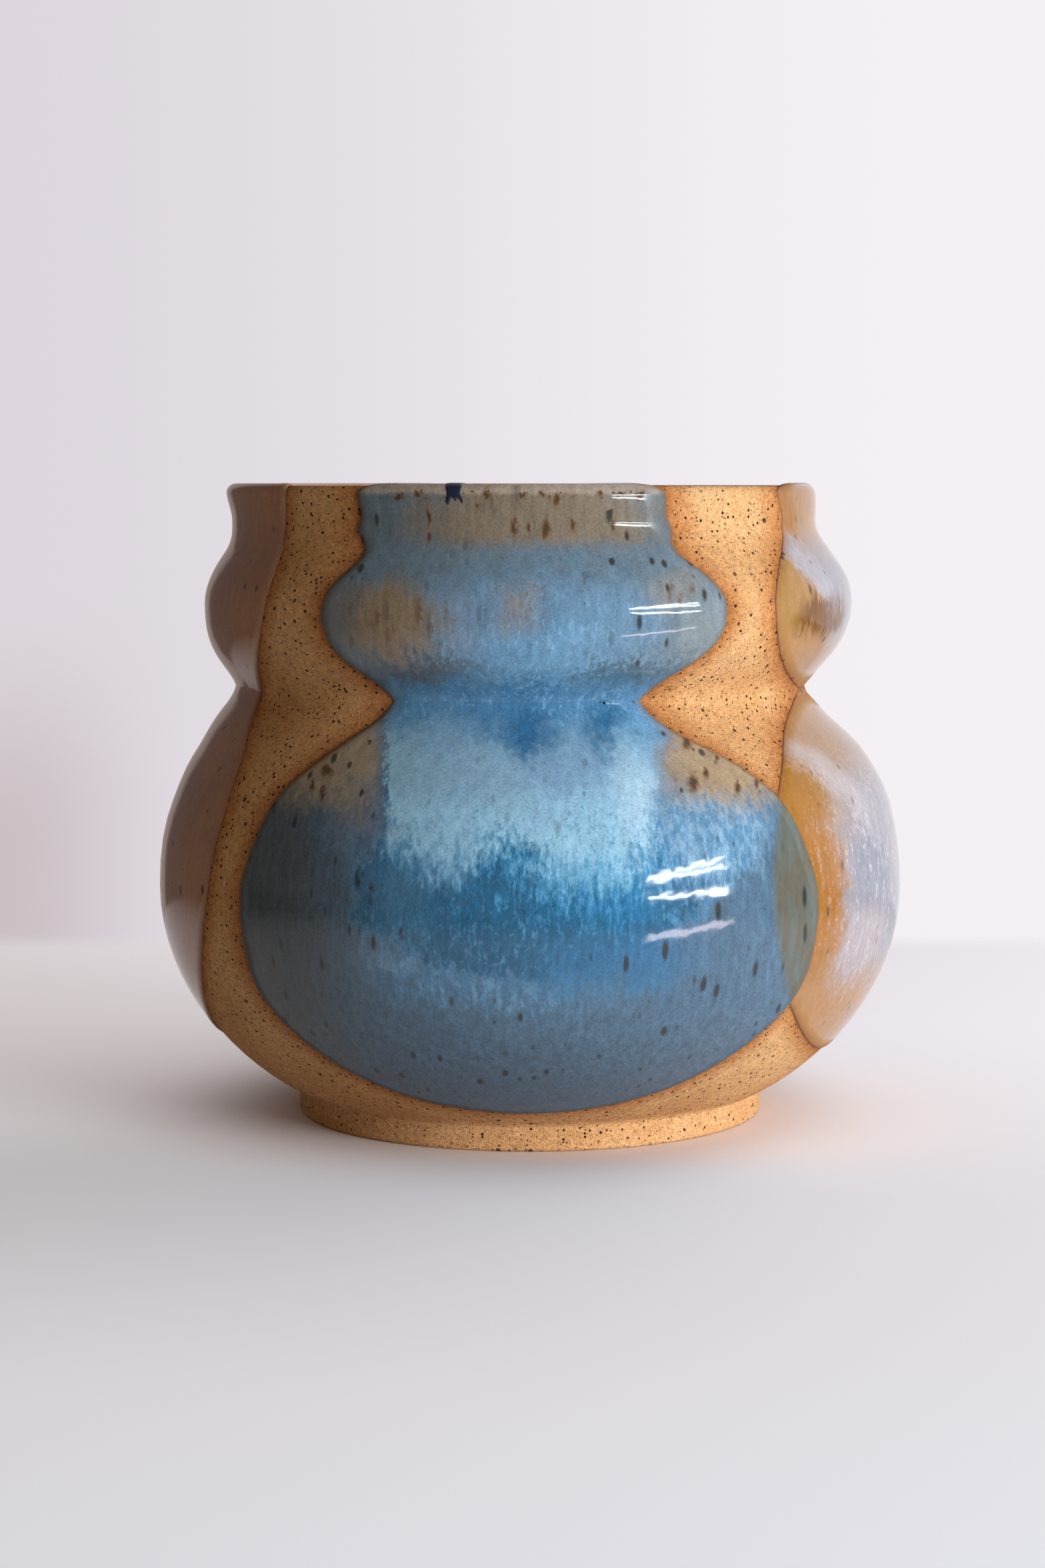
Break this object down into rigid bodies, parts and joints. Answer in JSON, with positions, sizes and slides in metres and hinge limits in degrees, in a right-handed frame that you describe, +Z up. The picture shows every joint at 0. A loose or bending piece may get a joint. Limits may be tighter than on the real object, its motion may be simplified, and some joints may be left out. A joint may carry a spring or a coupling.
{
  "type": "ceramic planter",
  "caption": "Round stoneware plant pot with a full belly, narrow waist and collar, a drain hole and foot ring, and glaze panels dipped from each side over bare speckled clay.",
  "frame": {"origin": "centre of the foot, on the surface that the pot stands on", "axes": "+Z up along the axis of turning, front panel towards -Y, +X to the right"},
  "size_m": [0.1602, 0.1602, 0.1368],
  "materials": {
    "clay": "bare fired clay, matt, with iron specks",
    "front_glaze": "glossy layered blue glaze with rutile streaks",
    "right_glaze": "glossy amber glaze under streaked pale lavender",
    "left_glaze": "glossy mauve grey glaze with iron specks",
    "back_glaze": "glossy layered blue glaze",
    "liner_glaze": "glossy navy glaze"
  },
  "bodies": {
    "root": {"clay_body": "clay", "front_glaze": "front_glaze", "right_glaze": "right_glaze", "left_glaze": "left_glaze", "back_glaze": "back_glaze", "liner_glaze": "liner_glaze", "rim_drip": "liner_glaze"}
  },
  "joints": []
}
